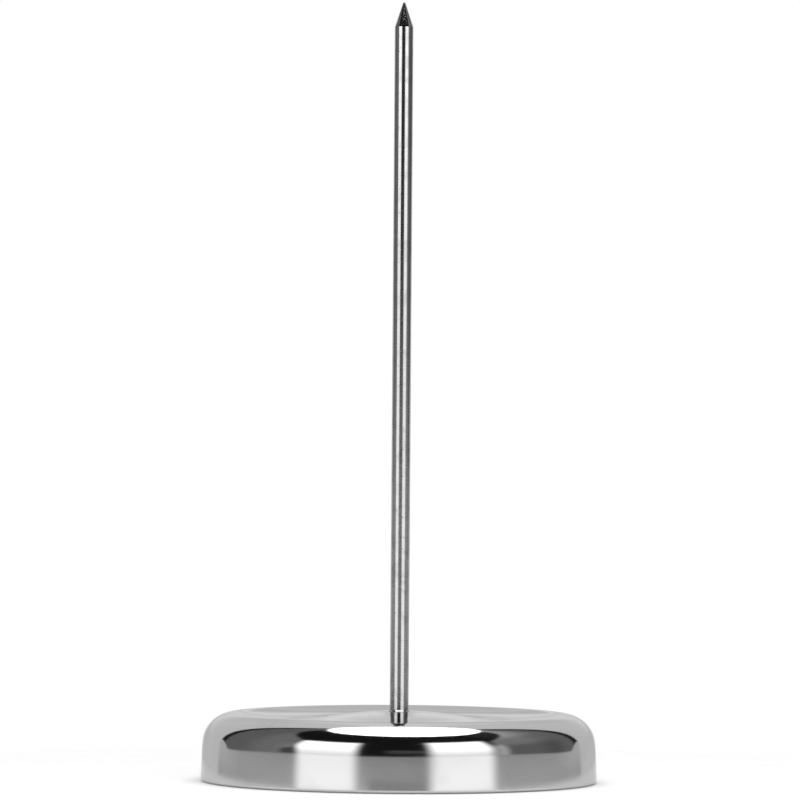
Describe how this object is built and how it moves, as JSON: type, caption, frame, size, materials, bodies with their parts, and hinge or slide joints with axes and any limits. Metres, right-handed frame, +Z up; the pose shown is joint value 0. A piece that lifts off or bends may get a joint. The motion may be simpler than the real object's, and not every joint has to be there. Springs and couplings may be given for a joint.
{
  "type": "bill spike",
  "caption": "Bill spike: a slim upright steel spindle with a ground point, bolted through a low round weighted base with a domed polished top, to hold spiked papers.",
  "frame": {"origin": "middle of the pad's underside, on the surface that the object stands on", "axes": "+Z up along the spindle towards its point; X and Y lie in the table, and the object looks the same all round"},
  "size_m": [0.0886, 0.0886, 0.1743],
  "materials": {
    "spindle_steel": "ground and polished stainless steel",
    "shell_steel": "mirror-polished drawn stainless steel",
    "cast_weight": "rough casting with a turned underside",
    "plated_steel": "zinc-plated steel",
    "pad_rubber": "matt black rubber sheet"
  },
  "bodies": {
    "root": {"spindle": "spindle_steel", "base_shell": "shell_steel", "ballast_weight": "cast_weight", "flat_washer": "plated_steel", "spring_washer": "plated_steel", "hex_nut": "plated_steel", "bottom_plate": "plated_steel", "non_slip_pad": "pad_rubber"}
  },
  "joints": []
}
